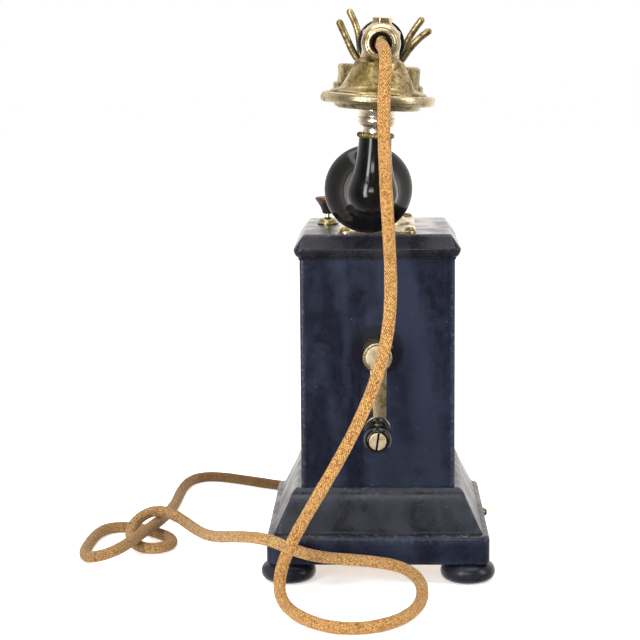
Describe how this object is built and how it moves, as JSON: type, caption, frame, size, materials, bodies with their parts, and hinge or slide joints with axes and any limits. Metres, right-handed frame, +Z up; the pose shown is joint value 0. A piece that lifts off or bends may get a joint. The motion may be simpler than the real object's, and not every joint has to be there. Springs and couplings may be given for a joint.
{
  "type": "telephone",
  "caption": "Desk telephone in a wooden tower case, with a side crank, a handset with a horn mouthpiece lying in a pronged cradle, and a braided cord",
  "frame": {"origin": "on the surface that the telephone stands on, under the centre of the case", "axes": "+Z up, -Y toward the side with the crank, +X to the right when facing the crank"},
  "size_m": [0.2608, 0.387, 0.3434],
  "materials": {
    "case_paint": "blue-black semi-gloss lacquer on wood",
    "lid_paint": "blue-black semi-gloss lacquer on wood, worn at the edges",
    "raw_wood": "unfinished",
    "nickel": "aged nickel plate, yellowed and mottled",
    "brass": "aged",
    "steel": "bright",
    "magnet_iron": "dark red lacquer",
    "winding": "cotton-wrapped copper wire",
    "capacitor_can": "satin",
    "ebonite": "polished hard rubber",
    "cotton_cord": "golden tan cotton braid"
  },
  "bodies": {
    "case": {"foot_near_left": "case_paint", "foot_near_right": "case_paint", "foot_far_left": "case_paint", "foot_far_right": "case_paint", "plinth": "case_paint", "bottom_board": "raw_wood", "base_moulding": "case_paint", "near_panel": "case_paint", "far_panel": "case_paint", "left_panel": "case_paint", "right_panel": "case_paint", "lid": "lid_paint", "cradle_plate": "nickel", "plate_screws": "brass", "column_flange": "nickel", "column_tube": "nickel", "button_rosette": "nickel", "crank_bushing": "ebonite", "generator_frame": "brass", "horseshoe_magnets": "magnet_iron", "generator_shelf": "raw_wood", "ringer_frame": "steel", "ringer_coils": "winding", "gongs": "brass", "induction_coil": "winding", "capacitor": "capacitor_can", "terminal_block": "raw_wood", "switch_springs": "brass", "cord_gland": "brass", "side_screw": "steel", "cord_floor": "cotton_cord"},
    "crank": {"crank_shaft": "steel", "drive_gear": "brass", "crank_arm": "nickel", "knob_pin": "steel"},
    "crank_knob_body": {"crank_knob": "ebonite"},
    "armature_body": {"armature": "winding", "armature_shaft": "steel", "pinion": "steel"},
    "cradle": {"plunger": "steel", "cradle_beam": "nickel", "near_fork": "nickel", "far_fork": "nickel"},
    "clapper_body": {"clapper": "steel"},
    "button": {"button_stem": "nickel", "button_knob": "ebonite"},
    "handset": {"grip_tube": "ebonite", "grip_collars": "ebonite", "transmitter_head": "nickel", "head_nut": "nickel", "transmitter_cone": "nickel", "transmitter_rim": "nickel", "carbon_capsule": "brass", "mouthpiece_neck": "nickel", "knurled_collar": "nickel", "horn": "ebonite", "receiver_head": "nickel", "receiver_cup": "nickel", "receiver_cap": "ebonite", "cord_hanging": "cotton_cord"}
  },
  "joints": [
    {"name": "crank_turn", "type": "hinge", "parent": "case", "child": "crank", "pos_m": [0, -0.08, 0.1395], "axis": [0, 1, 0], "continuous": true},
    {"name": "crank_knob_spin", "type": "hinge", "parent": "crank", "child": "crank_knob_body", "pos_m": [0, -0.1, 0.097], "axis": [0, 1, 0], "continuous": true},
    {"name": "armature_spin", "type": "hinge", "parent": "case", "child": "armature_body", "pos_m": [0, 0, 0.0945], "axis": [0, 1, 0], "continuous": true},
    {"name": "handset_lift", "type": "slide", "parent": "case", "child": "handset", "axis": [0, 0, 1], "range_m": [0, 0.12]},
    {"name": "cradle_rise", "type": "slide", "parent": "case", "child": "cradle", "axis": [0, 0, 1], "range_m": [0, 0.006]},
    {"name": "button_press", "type": "slide", "parent": "case", "child": "button", "axis": [0, 0, -1], "range_m": [0, 0.002], "stiffness_N_per_m": 400, "springref_m": -0.0005},
    {"name": "clapper_swing", "type": "hinge", "parent": "case", "child": "clapper_body", "pos_m": [0, 0.012, 0.03], "axis": [0, 0, 1], "range_deg": [-2, 2]}
  ],
  "couplings": [
    {"joint": "armature_spin", "follows": "crank_turn", "ratio": -4},
    {"joint": "cradle_rise", "follows": "handset_lift", "ratio": 0.05}
  ]
}
